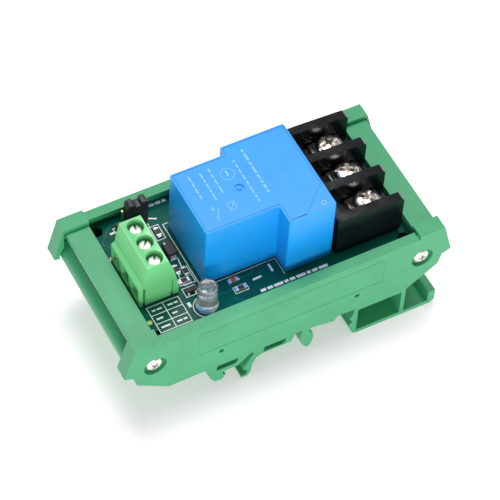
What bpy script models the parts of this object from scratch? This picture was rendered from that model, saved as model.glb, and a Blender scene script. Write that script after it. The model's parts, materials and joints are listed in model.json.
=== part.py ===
"""Relay module on a DIN-rail board carrier, built as an assembly of separate pieces.

The model stands on the ribbed feet at Z = 0. X runs along the board, Y along the
rail, and Z is up. Lengths below are millimetres; MM turns them into metres.
"""

import math

import bmesh
import bpy
from mathutils import Matrix, Vector

MM = 0.001

# Carrier
PLATE_OUTER_Y = 21.7        # outer faces of the two side plates
PLATE_WALL = 1.65
CAP_DEPTH = 4.1             # how far a plate's corner caps reach over the tray
LIP_DEPTH = 2.7
FOOT_DEPTH = 11.0           # how far the feet reach in from a plate's outer face
TRAY_HALF_LENGTH = 19.75
SCREW_X = 36.8
SCREW_HEIGHT = 21.6
SEAT_HEIGHT = 7.2           # underside that rests on the rail's flange
BEAM_HEIGHT = 10.45         # lower edge of the plates' main beam

# Board
BOARD_TOP = 26.3
BOARD_THICKNESS = 1.6
BOARD_HALF_X = 36.0
BOARD_HALF_Y = 19.75
LEAD_END = BOARD_TOP - 3.6  # how far soldered leads reach below the board

# Relay
RELAY_TOP = 20.3            # above the board
RELAY_WALL = 1.0
RELAY_AXIS_Y = 1.45
COIL_X = -5.5
HINGE_X = -14.0
HINGE_HEIGHT = 16.35
CONTACT_X = 7.0

# Black barrier block
BARRIER_PITCH = 9.5
BARRIER_WALL = 2.4
BARRIER_NEAR_Y = -14.3
BARRIER_LEFT = 15.9
BARRIER_RIGHT = 34.2
BARRIER_SCREW_X = 26.9
BARRIER_FLOOR = 5.4
BARRIER_POLES = 3

# Green rising-cage terminal
TERMINAL_PITCH = 5.08
TERMINAL_NEAR_Y = -7.8
TERMINAL_SCREW_X = -29.25
TERMINAL_TOP = 14.7
TERMINAL_POLES = 3

# Jumper header
HEADER_X = -25.46
HEADER_Y = 14.7
HEADER_PITCH = 2.54

# Round status lamp
LAMP_X = -19.35
LAMP_Y = -14.25


# ---------------------------------------------------------------- scene set-up

def clear_scene():
    for obj in list(bpy.data.objects):
        bpy.data.objects.remove(obj, do_unlink=True)


def new_collection(name):
    collection = bpy.data.collections.new(name)
    bpy.context.scene.collection.children.link(collection)
    return collection


clear_scene()
PARTS = new_collection("relay_module")
CUTTERS = new_collection("cutters")


def make_material(name, colour, roughness, metallic=0.0, alpha=1.0):
    material = bpy.data.materials.new(name)
    material.use_nodes = True
    shader = material.node_tree.nodes["Principled BSDF"]
    shader.inputs["Base Color"].default_value = (*colour, 1.0)
    shader.inputs["Roughness"].default_value = roughness
    shader.inputs["Metallic"].default_value = metallic
    shader.inputs["Alpha"].default_value = alpha
    material.diffuse_color = (*colour, alpha)
    return material


CARRIER_GREEN = make_material("carrier_green", (0.10, 0.45, 0.21), 0.45)
BOARD_GREEN = make_material("board_green", (0.0, 0.10, 0.07), 0.35)
RELAY_BLUE = make_material("relay_blue", (0.02, 0.27, 0.80), 0.4)
BLACK_PLASTIC = make_material("black_plastic", (0.015, 0.016, 0.02), 0.45)
TERMINAL_GREEN = make_material("terminal_green", (0.22, 0.70, 0.30), 0.4)
NICKEL = make_material("nickel_steel", (0.72, 0.70, 0.66), 0.3, 1.0)
TINNED_COPPER = make_material("tinned_copper", (0.78, 0.77, 0.74), 0.35, 1.0)
COPPER = make_material("copper_wire", (0.72, 0.32, 0.16), 0.35, 1.0)
IRON = make_material("soft_iron", (0.50, 0.50, 0.50), 0.45, 1.0)
BRASS = make_material("brass", (0.78, 0.60, 0.28), 0.3, 1.0)
NATURAL_NYLON = make_material("natural_nylon", (0.80, 0.78, 0.70), 0.5)
CLEAR_EPOXY = make_material("clear_epoxy", (0.85, 0.88, 0.90), 0.08, 0.0, 0.35)
RED_EPOXY = make_material("red_epoxy", (0.65, 0.08, 0.03), 0.25)


# ---------------------------------------------------------------- solid tools

def scratch_object(mesh):
    obj = bpy.data.objects.new("shape", mesh)
    CUTTERS.objects.link(obj)
    return obj


def from_bmesh(bm):
    mesh = bpy.data.meshes.new("shape")
    bm.to_mesh(mesh)
    bm.free()
    return scratch_object(mesh)


def bake(obj):
    """Give the object the plain mesh that its curve or modifiers make."""
    bpy.context.view_layer.update()
    graph = bpy.context.evaluated_depsgraph_get()
    mesh = bpy.data.meshes.new_from_object(obj.evaluated_get(graph))
    bm = bmesh.new()
    bm.from_mesh(mesh)
    bmesh.ops.remove_doubles(bm, verts=bm.verts, dist=0.001 * MM)
    bm.to_mesh(mesh)
    bm.free()
    baked = scratch_object(mesh)
    baked.matrix_world = obj.matrix_world.copy()
    bpy.data.objects.remove(obj, do_unlink=True)
    return baked


def box(low, high):
    bm = bmesh.new()
    bmesh.ops.create_cube(bm, size=1.0)
    low = Vector(low) * MM
    high = Vector(high) * MM
    bmesh.ops.scale(bm, vec=high - low, verts=bm.verts)
    bmesh.ops.translate(bm, vec=(low + high) / 2, verts=bm.verts)
    return from_bmesh(bm)


AXIS_TURN = {
    "X": Matrix(((0, 0, 1), (1, 0, 0), (0, 1, 0))).to_4x4(),
    "Y": Matrix(((1, 0, 0), (0, 0, -1), (0, 1, 0))).to_4x4(),
    "Z": Matrix.Identity(4),
}


def cylinder(centre, radius, low, high, axis="Z", sides=24):
    """Round bar along an axis; centre gives the two coordinates square to it."""
    bm = bmesh.new()
    bmesh.ops.create_cone(bm, cap_ends=True, segments=sides, radius1=radius * MM,
                          radius2=radius * MM, depth=(high - low) * MM)
    middle = (low + high) / 2 if axis != "Y" else -(low + high) / 2
    shift = Vector((centre[0], centre[1], middle)) * MM
    bmesh.ops.translate(bm, vec=shift, verts=bm.verts)
    bmesh.ops.transform(bm, matrix=AXIS_TURN[axis], verts=bm.verts)
    return from_bmesh(bm)


def circle(centre, radius, sides=16):
    step = 2 * math.pi / sides
    return [(centre[0] + radius * math.cos(i * step), centre[1] + radius * math.sin(i * step))
            for i in range(sides)]


def prism(outline, low, high, axis="Y", holes=()):
    """Flat outline with holes, extruded between two planes square to an axis."""
    curve = bpy.data.curves.new("outline", "CURVE")
    curve.dimensions = "2D"
    curve.fill_mode = "BOTH"
    curve.extrude = (high - low) / 2 * MM
    for loop in (outline, *holes):
        spline = curve.splines.new("POLY")
        spline.points.add(len(loop) - 1)
        for point, (u, v) in zip(spline.points, loop):
            point.co = (u * MM, v * MM, 0, 1)
        spline.use_cyclic_u = True
    obj = bpy.data.objects.new("outline", curve)
    CUTTERS.objects.link(obj)
    solid = bake(obj)
    middle = (low + high) / 2 if axis != "Y" else -(low + high) / 2
    place = AXIS_TURN[axis] @ Matrix.Translation((0, 0, middle * MM))
    solid.data.transform(place)
    solid.matrix_world = Matrix.Identity(4)
    return solid


def turned(profile, steps=24, closed=False):
    """Solid of revolution about Z; the profile of (radius, height) runs down its outer side."""
    mesh = bpy.data.meshes.new("profile")
    edges = [(i, i + 1) for i in range(len(profile) - 1)]
    if closed:
        edges.append((len(profile) - 1, 0))
    mesh.from_pydata([(r * MM, 0, z * MM) for r, z in profile], edges, [])
    obj = scratch_object(mesh)
    screw = obj.modifiers.new("turn", "SCREW")
    screw.steps = steps
    screw.render_steps = steps
    screw.use_merge_vertices = True
    screw.merge_threshold = 0.001 * MM
    return bake(obj)


def combine(base, tools, operation, solver="EXACT"):
    for tool in tools:
        modifier = base.modifiers.new(operation.lower(), "BOOLEAN")
        modifier.operation = operation
        modifier.object = tool
        modifier.solver = solver
    result = bake(base)
    for tool in tools:
        bpy.data.objects.remove(tool, do_unlink=True)
    return result


def join(base, *tools):
    return combine(base, tools, "UNION")


def cut(base, *tools):
    return combine(base, tools, "DIFFERENCE")


def bevel_edges(obj, width, angle=60.0, segments=2):
    modifier = obj.modifiers.new("round_edges", "BEVEL")
    modifier.width = width * MM
    modifier.segments = segments
    modifier.limit_method = "ANGLE"
    modifier.angle_limit = math.radians(angle)
    return bake(obj)


def mirrored_y(obj):
    """Mirror image across the plane Y = 0, faces still pointing out."""
    bm = bmesh.new()
    bm.from_mesh(obj.data)
    bmesh.ops.scale(bm, vec=(1, -1, 1), verts=bm.verts)
    bmesh.ops.reverse_faces(bm, faces=bm.faces)
    return from_bmesh(bm)


def part(obj, name, material, location=(0, 0, 0), parent=None):
    """Turn a finished shape into a named part of the model."""
    CUTTERS.objects.unlink(obj)
    PARTS.objects.link(obj)
    obj.name = name
    obj.data.name = name
    obj.data.materials.clear()
    obj.data.materials.append(material)
    obj.data.shade_smooth()
    obj.data.set_sharp_from_angle(angle=math.radians(35))
    obj.location = Vector(location) * MM
    if parent:
        obj.parent = parent
    return obj


def copy_of(obj, name, location):
    twin = bpy.data.objects.new(name, obj.data)
    twin.location = Vector(location) * MM
    twin.parent = obj.parent
    PARTS.objects.link(twin)
    return twin


def cross_recess(radius, top, depth, width):
    """Cutter for a cross-recess screw drive, pointing down from the given height."""
    bar_x = box((-radius, -width / 2, top - depth), (radius, width / 2, top + 1))
    bar_y = box((-width / 2, -radius, top - depth), (width / 2, radius, top + 1))
    return [bar_x, bar_y]


# ---------------------------------------------------------------- carrier

def mirrored_outline(half):
    """Closed outline from its right half, listed from the bottom centre round to the top."""
    return half + [(-x, z) for x, z in reversed(half)]


def build_tray():
    bulge_centre = (40.2, 21.3)
    bulge_radius = 2.9
    bulge = []
    for degrees in range(-50, 56, 15):
        angle = math.radians(degrees)
        bulge.append((bulge_centre[0] + bulge_radius * math.cos(angle),
                      bulge_centre[1] + bulge_radius * math.sin(angle)))
    groove_low = BOARD_TOP - BOARD_THICKNESS - 0.3
    groove_high = BOARD_TOP + 0.3
    half = [(32.6, 10.8), (41.0, 17.2), *bulge, (40.0, 24.8), (40.0, 27.8), (41.8, 28.3),
            (41.8, 29.7), (35.5, 29.7), (35.5, groove_high), (BOARD_HALF_X + 0.35, groove_high),
            (BOARD_HALF_X + 0.35, groove_low), (34.8, groove_low), (34.8, 19.5), (40.4, 19.5),
            (39.6, 17.9), (32.0, 12.4)]
    holes = [circle((side * SCREW_X, SCREW_HEIGHT), 1.4, 12) for side in (-1, 1)]
    tray = prism(mirrored_outline(half), -TRAY_HALF_LENGTH, TRAY_HALF_LENGTH, "Y", holes)
    part(tray, "profile_tray", CARRIER_GREEN)


def hook_edge():
    """Lower edge of a plate from the left hook to the middle beam, left to right."""
    hook = [(-21.7, 6.6), (-20.2, 4.1), (-18.5, 3.9), (-17.6, 4.8), (-17.3, 5.6), (-18.1, 6.1),
            (-18.1, 6.9), (-17.1, SEAT_HEIGHT)]
    slot = [(-13.9, SEAT_HEIGHT), (-10.9, 10.0), (-10.4, 10.3), (-9.8, 10.2), (-9.7, 9.7)]
    finger = [(-12.5, 4.4), (-11.9, 3.9), (-11.3, 3.4), (-11.2, 2.3), (-11.6, 1.9),
              (-12.8, 1.7), (-12.8, 1.0), (-12.4, 0.8), (-11.0, 0.9), (-10.1, 2.5), (-9.9, 5.1),
              (-8.8, 7.4), (-7.4, 8.1)]
    return hook + slot + finger + [(0.8, 8.1)]


def bump_edge():
    return [(3.4, 7.1), (4.2, 4.4), (5.4, 2.9), (6.3, 3.1), (7.0, 5.2), (7.2, 7.0), (6.9, 8.1),
            (5.9, 9.2)]


def foot_edge():
    """Ribbed foot: tooth side, bottom, and the free-standing end wall."""
    return [(18.3, 8.7), (17.5, 7.4), (17.5, 7.0), (18.2, 6.2), (18.2, 5.4), (17.3, 4.5),
            (17.5, 3.7), (18.65, 0.7), (20.1, 0.0), (40.8, 0.0), (42.4, 0.8), (42.4, 4.8),
            (40.4, 4.8), (40.4, 1.3), (33.3, 1.3)]


def slot_outline(left, right, low, high):
    return [(left, low), (right, low), (right, high), (left, high)]


def hook_slot(left, right, low, high):
    """Slot with its left end and lower right corner rounded."""
    return [(left + 0.15, low), (right - 0.9, low), (right - 0.3, low + 0.35),
            (right, high - 0.3), (right - 0.15, high), (left + 0.6, high),
            (left + 0.1, high - 0.45)]


def under(edge, left, right, top):
    """Closed outline of what hangs below the beam, cut off level at the top."""
    return [(left, top), *edge, (right, top)]


def build_near_plate():
    outer = -PLATE_OUTER_Y
    inner = outer + PLATE_WALL
    deep_top = BEAM_HEIGHT - 0.05
    hook_slots = [hook_slot(-20.0, -14.0, 8.6, 10.0), hook_slot(-7.1, -0.7, 8.75, 10.0)]
    cap_half = [(35.4, 29.9), (35.4, 31.0), (42.3, 31.0), (45.0, 21.0), (42.5, 20.0), (41.7, 16.6)]
    beam = [(-33.0, BEAM_HEIGHT), (-22.6, 10.6), *hook_edge(), (2.0, 11.0), (3.7, 10.9),
            *bump_edge(), (5.9, 10.7), (12.8, 9.4), (13.8, 11.1), (18.65, 10.8), *foot_edge(),
            (33.3, 10.65)]
    outline = beam + list(reversed(cap_half)) + [(-x, z) for x, z in cap_half]
    holes = [circle((side * SCREW_X, SCREW_HEIGHT), 1.5, 16) for side in (-1, 1)]
    holes += [circle((side * 18.8, 16.6), 0.7, 10) for side in (-1, 1)]
    panel = prism(outline, outer, inner, "Y", holes + hook_slots)

    solids = []
    overlap = outer + 0.5
    for side in (-1, 1):
        rim = [(35.4, 31.0), (42.3, 31.0), (45.0, 21.0), (43.45, 20.4), (43.45, 22.0),
               (42.3, 24.7), (42.15, 30.0), (35.4, 30.0)]
        rim = [(side * x, z) for x, z in rim]
        solids.append(prism(rim, overlap, outer + CAP_DEPTH, "Y"))
    solids.append(box((-35.2, overlap, 28.4), (35.2, outer + LIP_DEPTH, 29.9)))
    deep = outer + FOOT_DEPTH
    hook = under(hook_edge(), -22.6, 2.0, deep_top)
    solids.append(prism(hook, overlap, deep, "Y", hook_slots))
    solids.append(prism(under(bump_edge(), 3.7, 5.9, deep_top), overlap, deep, "Y"))
    foot = under(foot_edge(), 18.65, 33.3, deep_top)
    solids.append(prism(foot, overlap, deep, "Y"))
    solids.append(box((32.8, deep - 1.2, 0.6), (41.4, deep - 0.01, deep_top - 0.1)))
    plate = combine(panel, solids, "UNION", "MANIFOLD")

    recesses = [cylinder((side * SCREW_X, SCREW_HEIGHT), 3.0, outer - 1, outer + 1.1, "Y", 32)
                for side in (-1, 1)]
    window = box((19.7, outer - 1, 1.3), (32.15, deep - 1.2, 9.9))
    return combine(plate, [window, *recesses], "DIFFERENCE", "MANIFOLD")


def build_plates():
    near = build_near_plate()
    far = mirrored_y(near)
    part(near, "side_plate_near", CARRIER_GREEN)
    part(far, "side_plate_far", CARRIER_GREEN)


def build_plate_screws():
    """Low pan-head screws; the head's outer face looks along +Z before it is turned."""
    head = [(0, 0.95), (1.0, 0.93), (1.9, 0.72), (2.35, 0.3), (2.35, 0.0)]
    shank = [(1.15, 0.0), (1.15, -7.0), (0.6, -8.0), (0, -8.3)]
    screw = turned(head + shank, 24)
    screw = cut(screw, *cross_recess(1.25, 0.95, 0.6, 0.5))
    first = None
    index = 0
    for side_y in (-1, 1):
        for side_x in (-1, 1):
            index += 1
            place = (side_x * SCREW_X, side_y * (PLATE_OUTER_Y - 1.0), SCREW_HEIGHT)
            name = f"plate_screw_{index}"
            obj = part(screw, name, NICKEL, place) if first is None else copy_of(first, name, place)
            first = first or obj
            obj.rotation_euler = (side_y * -math.pi / 2, 0, 0)


# ---------------------------------------------------------------- board

def barrier_centres():
    first = BARRIER_NEAR_Y + BARRIER_WALL / 2 + BARRIER_PITCH / 2
    return [first + i * BARRIER_PITCH for i in range(BARRIER_POLES)]


def terminal_centres():
    first = TERMINAL_NEAR_Y + TERMINAL_PITCH / 2
    return [first + i * TERMINAL_PITCH for i in range(TERMINAL_POLES)]


BARRIER_PIN_X = 22.0
TERMINAL_PIN_X = -26.2
COIL_PIN_Y = (RELAY_AXIS_Y - 7.8, RELAY_AXIS_Y + 7.8)
NO_STRIP_X = 11.4
NC_STRIP_X = 13.1
COMMON_STRIP_X = -15.6
LAMP_LEAD_SPACING = 2.54


def build_board():
    holes = []
    for side in (-1, 1):
        holes += [circle((side * 33.7, 17.3), 1.6), circle((side * 33.7, -17.0), 1.6)]
    leads = [(BARRIER_PIN_X, y, 1.2) for y in barrier_centres()]
    leads += [(TERMINAL_PIN_X, y, 0.9) for y in terminal_centres()]
    leads += [(COIL_X, y, 0.8) for y in COIL_PIN_Y]
    leads += [(x, RELAY_AXIS_Y, 1.5) for x in (NO_STRIP_X, COMMON_STRIP_X)]
    leads += [(NC_STRIP_X, RELAY_AXIS_Y - 5.0, 1.5)]
    leads += [(HEADER_X + i * HEADER_PITCH, HEADER_Y, 0.6) for i in (-1, 0, 1)]
    leads += [(LAMP_X + side * LAMP_LEAD_SPACING / 2, LAMP_Y, 0.5) for side in (-1, 1)]
    holes += [circle((x, y), radius, 12) for x, y, radius in leads]
    edge = slot_outline(-BOARD_HALF_X, BOARD_HALF_X, -BOARD_HALF_Y, BOARD_HALF_Y)
    board = prism(edge, BOARD_TOP - BOARD_THICKNESS, BOARD_TOP, "Z", holes)
    part(board, "pcb", BOARD_GREEN)


def chip(name, size, location, material):
    """Surface-mounted block with end terminals standing a little proud of it."""
    x, y, z = (length / 2 for length in size)
    body = box((-x, -y, 0.05), (x, y, 2 * z))
    band = 0.18 * max(size[0], size[1])
    if size[0] > size[1]:
        ends = [box((side * x - band / 2, -y * 0.9, 0.02), (side * x + band / 2, y * 0.9, z))
                for side in (-1, 1)]
    else:
        ends = [box((-x * 0.9, side * y - band / 2, 0.02), (x * 0.9, side * y + band / 2, z))
                for side in (-1, 1)]
    part(join(body, *ends), name, material, (*location, BOARD_TOP + 0.03))


def build_chips():
    across = (2.0, 1.25, 0.6)
    along = (1.25, 2.0, 0.6)
    places = [(along, (-20.3, 10.6)), (along, (-21.2, -1.6)), (along, (-19.5, -2.9)),
              (across, (-21.0, -5.3)), (across, (-9.6, -13.2))]
    for index, (size, place) in enumerate(places, 1):
        chip(f"resistor_{index}", size, place, BLACK_PLASTIC)
    chip("flyback_diode", (2.6, 4.4, 2.1), (-20.3, 4.1), BLACK_PLASTIC)
    chip("driver_transistor", (2.9, 1.4, 1.0), (-20.9, -8.6), BLACK_PLASTIC)
    chip("power_led_chip", (2.0, 1.25, 0.8), (-10.2, -10.3), RED_EPOXY)


def build_status_lamp():
    """Flat-topped round lamp with a flange at its foot."""
    top = [(0, 8.2), (2.2, 8.2), (2.4, 8.0)]
    lens = turned(top + [(2.4, 1.4), (2.8, 1.4), (2.8, 0.4), (0, 0.4)], 24)
    base = (LAMP_X, LAMP_Y, BOARD_TOP)
    part(lens, "status_led_lens", CLEAR_EPOXY, base)
    for index, side in enumerate((-1, 1), 1):
        lead = box((-0.25, -0.25, LEAD_END - BOARD_TOP), (0.25, 0.25, 0.3))
        place = (LAMP_X + side * LAMP_LEAD_SPACING / 2, LAMP_Y, BOARD_TOP)
        part(lead, f"status_led_lead_{index}", TINNED_COPPER, place)


def build_header():
    half = 1.5 * HEADER_PITCH
    base = box((-half, -1.25, 0.1), (half, 1.25, 2.5))
    pin_x = [i * HEADER_PITCH for i in (-1, 0, 1)]
    base = cut(base, *[box((x - 0.37, -0.37, -1), (x + 0.37, 0.37, 4)) for x in pin_x])
    place = (HEADER_X, HEADER_Y, BOARD_TOP)
    part(base, "header_base", BLACK_PLASTIC, place)
    for index, x in enumerate(pin_x, 1):
        pin = box((-0.3, -0.3, LEAD_END - BOARD_TOP), (0.3, 0.3, 8.4))
        part(pin, f"header_pin_{index}", BRASS, (HEADER_X + x, HEADER_Y, BOARD_TOP))


def build_jumper():
    """Cap with two raised ends; its origin is between the two pins that it bridges."""
    place = (HEADER_X + HEADER_PITCH / 2, HEADER_Y, BOARD_TOP)
    side = [(-2.8, 2.7), (2.8, 2.7), (2.8, 10.6), (2.2, 11.2), (1.0, 11.2), (0.7, 10.2),
            (-0.7, 10.2), (-1.0, 11.2), (-2.2, 11.2), (-2.8, 10.6)]
    cap = prism(side, -1.3, 1.3, "Y")
    cap = cut(cap, box((-2.2, -0.85, 2.0), (2.2, 0.85, 9.4)))
    part(cap, "jumper_cap", BLACK_PLASTIC, place)
    section = [(-0.7, 3.0), (-0.5, 3.0), (-0.5, 8.7), (0.5, 8.7), (0.5, 3.0), (0.7, 3.0),
               (0.7, 9.0), (-0.7, 9.0)]
    clip = prism(section, -2.0, 2.0, "X")
    part(clip, "jumper_clip", BRASS, place)


# ---------------------------------------------------------------- relay

def relay_plan(inset=0.0):
    """T-shaped plan of the relay, pulled in by an inset."""
    left, right = -17.17 + inset, 15.1 - inset
    low, high = -8.4 + inset, 11.3 - inset
    wide_low, wide_high = -13.8 + inset, 13.6 - inset
    return [(left, low), (2.3 + inset, low), (2.3 + inset, wide_low), (right, wide_low),
            (right, wide_high), (-2.5 + inset, wide_high), (-2.5 + inset, high), (left, high)]


def build_relay_case():
    case = prism(relay_plan(), 0.3, RELAY_TOP, "Z")
    case = bevel_edges(case, 0.45)
    case = cut(case, prism(relay_plan(RELAY_WALL), -1.0, RELAY_TOP - RELAY_WALL, "Z"))
    part(case, "relay_case", RELAY_BLUE, (0, 0, BOARD_TOP))
    holes = [circle((COIL_X, y), 0.75, 12) for y in COIL_PIN_Y]
    for x in (NO_STRIP_X, COMMON_STRIP_X):
        holes.append(slot_outline(x - 0.35, x + 0.35, RELAY_AXIS_Y - 1.2, RELAY_AXIS_Y + 1.2))
    nc_y = RELAY_AXIS_Y - 5.0
    holes.append(slot_outline(NC_STRIP_X - 0.35, NC_STRIP_X + 0.35, nc_y - 1.2, nc_y + 1.2))
    base = prism(relay_plan(RELAY_WALL + 0.1), 0.4, 2.0, "Z", holes)
    part(base, "relay_base", BLACK_PLASTIC, (0, 0, BOARD_TOP))


def build_relay_magnet():
    axis = (COIL_X, RELAY_AXIS_Y, BOARD_TOP)
    bobbin = [(7.2, 15.1), (7.2, 14.3), (3.5, 14.3), (3.5, 4.5), (7.2, 4.5), (7.2, 3.7),
              (2.8, 3.7), (2.8, 15.1)]
    part(turned(bobbin, 32, closed=True), "relay_bobbin", NATURAL_NYLON, axis)
    winding = [(6.8, 14.2), (6.8, 4.6), (3.7, 4.6), (3.7, 14.2)]
    part(turned(winding, 32, closed=True), "relay_coil", COPPER, axis)
    core = [(0, 16.1), (2.6, 16.1), (2.6, 3.55), (0, 3.55)]
    part(turned(core, 24), "relay_core", IRON, axis)
    yoke = [(-14.6, 2.2), (1.2, 2.2), (1.2, 3.4), (-13.3, 3.4), (-13.3, 16.0), (-14.6, 16.0)]
    yoke = prism(yoke, RELAY_AXIS_Y - 5.8, RELAY_AXIS_Y + 5.8, "Y")
    part(yoke, "relay_yoke", IRON, (0, 0, BOARD_TOP))
    for index, y in enumerate(COIL_PIN_Y, 1):
        pin = cylinder((0, 0), 0.45, LEAD_END - BOARD_TOP, 4.2, "Z", 12)
        part(pin, f"relay_coil_pin_{index}", TINNED_COPPER, (COIL_X, y, BOARD_TOP))


def build_relay_armature():
    """Armature and contact blade turn about the top edge of the yoke."""
    pivot = (HINGE_X, RELAY_AXIS_Y, BOARD_TOP + HINGE_HEIGHT)
    reach = COIL_X + 4.0 - HINGE_X
    armature = box((-0.4, -5.4, 0.3), (reach, 5.4, 1.15))
    armature = part(armature, "relay_armature", IRON, pivot)
    blade = box((6.5, -2.4, 1.25), (CONTACT_X + 1.8 - HINGE_X, 2.4, 1.5))
    button = cylinder((CONTACT_X - HINGE_X, 0), 1.5, 0.8, 1.85, "Z", 16)
    blade = part(join(blade, button), "relay_contact_blade", COPPER)
    blade.parent = armature
    leaf = [(-15.1, 8.5), (-14.85, 8.5), (-14.85, 17.6), (-9.0, 17.6), (-9.0, 17.8),
            (-15.1, 17.8)]
    leaf = prism(leaf, RELAY_AXIS_Y - 3.0, RELAY_AXIS_Y + 3.0, "Y")
    part(leaf, "relay_return_leaf", BRASS, (0, 0, BOARD_TOP))


def contact_strip(foot_x, foot_y, arm_height, button_low, button_high):
    """Bent strip: a foot through the board, and an arm with a contact button."""
    foot_end = LEAD_END - BOARD_TOP
    upright = box((foot_x - 0.25, foot_y - 1.0, foot_end), (foot_x + 0.25, foot_y + 1.0, arm_height))
    arm_low_y = min(foot_y - 1.0, RELAY_AXIS_Y - 2.0)
    arm = box((CONTACT_X - 2.0, arm_low_y, arm_height - 0.4),
              (foot_x + 0.25, RELAY_AXIS_Y + 2.0, arm_height + 0.001))
    button = cylinder((CONTACT_X, RELAY_AXIS_Y), 1.5, button_low, button_high, "Z", 16)
    return join(arm, upright, button)


def build_relay_contacts():
    place = (0, 0, BOARD_TOP)
    normally_open = contact_strip(NO_STRIP_X, RELAY_AXIS_Y, 15.2, 14.9, 16.05)
    part(normally_open, "relay_contact_no", COPPER, place)
    normally_closed = contact_strip(NC_STRIP_X, RELAY_AXIS_Y - 5.0, 19.1, 18.35, 19.0)
    part(normally_closed, "relay_contact_nc", COPPER, place)
    common = box((COMMON_STRIP_X - 0.25, RELAY_AXIS_Y - 1.0, LEAD_END - BOARD_TOP),
                 (COMMON_STRIP_X + 0.25, RELAY_AXIS_Y + 1.0, 15.0))
    part(common, "relay_common_strip", COPPER, place)


# ---------------------------------------------------------------- barrier block

def build_barrier_body():
    far_y = BARRIER_NEAR_Y + BARRIER_POLES * BARRIER_PITCH + BARRIER_WALL
    section = [(BARRIER_LEFT, 0.3), (33.4, 0.3), (33.4, BARRIER_FLOOR), (20.4, BARRIER_FLOOR),
               (20.4, 9.4), (18.0, 9.4), (18.0, 12.7), (BARRIER_LEFT, 12.7)]
    body = prism(section, BARRIER_NEAR_Y + 0.2, far_y - 0.2, "Y")
    wall = [(BARRIER_LEFT - 0.01, 0.29), (33.6, 0.29), (BARRIER_RIGHT, 1.5), (BARRIER_RIGHT, 11.8),
            (33.6, 12.4), (20.0, 13.2), (BARRIER_LEFT - 0.01, 13.2)]
    walls = []
    for i in range(BARRIER_POLES + 1):
        low = BARRIER_NEAR_Y + i * BARRIER_PITCH
        walls.append(prism(wall, low, low + BARRIER_WALL, "Y"))
    body = join(body, *walls)
    pockets = []
    for y in barrier_centres():
        pockets.append(cylinder((BARRIER_SCREW_X, y), 2.1, 1.6, BARRIER_FLOOR + 1, "Z", 20))
        pockets.append(box((BARRIER_PIN_X - 0.5, y - 1.3, -1), (BARRIER_PIN_X + 0.5, y + 1.3, 6)))
    part(cut(body, *pockets), "barrier_body", BLACK_PLASTIC, (0, 0, BOARD_TOP))


def build_barrier_hardware():
    """Terminal plate, clamp washer and screw of one pole, copied along the block."""
    screw_hole = circle((0, 0), 1.95, 20)
    pin_x = BARRIER_PIN_X - BARRIER_SCREW_X
    plate = prism(slot_outline(pin_x - 0.3, 4.8, -3.1, 3.1), BARRIER_FLOOR + 0.1,
                  BARRIER_FLOOR + 0.9, "Z", [screw_hole])
    tongue = box((pin_x - 0.3, -1.0, LEAD_END - BOARD_TOP), (pin_x + 0.3, 1.0, BARRIER_FLOOR + 0.6))
    plate = join(plate, tongue)
    clamp = prism(slot_outline(-4.4, 4.4, -3.2, 3.2), 0, 0.9, "Z", [screw_hole])
    head = [(0, 3.3), (1.8, 3.2), (2.8, 2.7), (3.35, 1.8), (3.35, 1.0), (1.7, 1.0), (1.7, -4.0),
            (1.2, -4.5), (0, -4.5)]
    screw = cut(turned(head, 28), *cross_recess(2.1, 3.3, 1.2, 0.8))
    seat = BOARD_TOP + BARRIER_FLOOR + 1.0
    shapes = {"plate": (plate, NICKEL, BOARD_TOP), "clamp": (clamp, NICKEL, seat),
              "screw": (screw, NICKEL, seat)}
    for kind, (shape, material, height) in shapes.items():
        first = None
        for index, y in enumerate(barrier_centres(), 1):
            place = (BARRIER_SCREW_X, y, height)
            name = f"barrier_{kind}_{index}"
            if first is None:
                first = part(shape, name, material, place)
            else:
                copy_of(first, name, place)


# ---------------------------------------------------------------- green terminal

def build_terminal_housing():
    side = [(-34.4, 0.3), (-23.7, 0.3), (-23.8, 3.8), (-25.2, 10.3), (-26.7, TERMINAL_TOP),
            (-32.4, TERMINAL_TOP), (-33.6, 8.3), (-34.5, 7.5)]
    far_y = TERMINAL_NEAR_Y + TERMINAL_POLES * TERMINAL_PITCH
    body = prism(side, TERMINAL_NEAR_Y, far_y, "Y")
    cutters = []
    for y in terminal_centres():
        axis = (TERMINAL_SCREW_X, y)
        cutters.append(box((axis[0] - 2.35, y - 1.85, 1.2), (axis[0] + 2.35, y + 1.85, 9.2)))
        cutters.append(cylinder(axis, 2.1, 11.6, TERMINAL_TOP + 1, "Z", 28))
        cutters.append(cylinder(axis, 1.45, 9.0, 12.0, "Z", 20))
        entry = [(y - 1.5, 3.0), (y - 0.9, 2.3), (y + 0.9, 2.3), (y + 1.5, 3.0), (y + 1.5, 5.6),
                 (y + 0.9, 6.3), (y - 0.9, 6.3), (y - 1.5, 5.6)]
        cutters.append(prism(entry, -36.0, axis[0] - 2.0, "X"))
        cutters.append(box((axis[0] + 2.0, y - 1.2, -1), (TERMINAL_PIN_X + 0.6, y + 1.2, 5.9)))
    part(cut(body, *cutters), "terminal_housing", TERMINAL_GREEN, (0, 0, BOARD_TOP))


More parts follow.
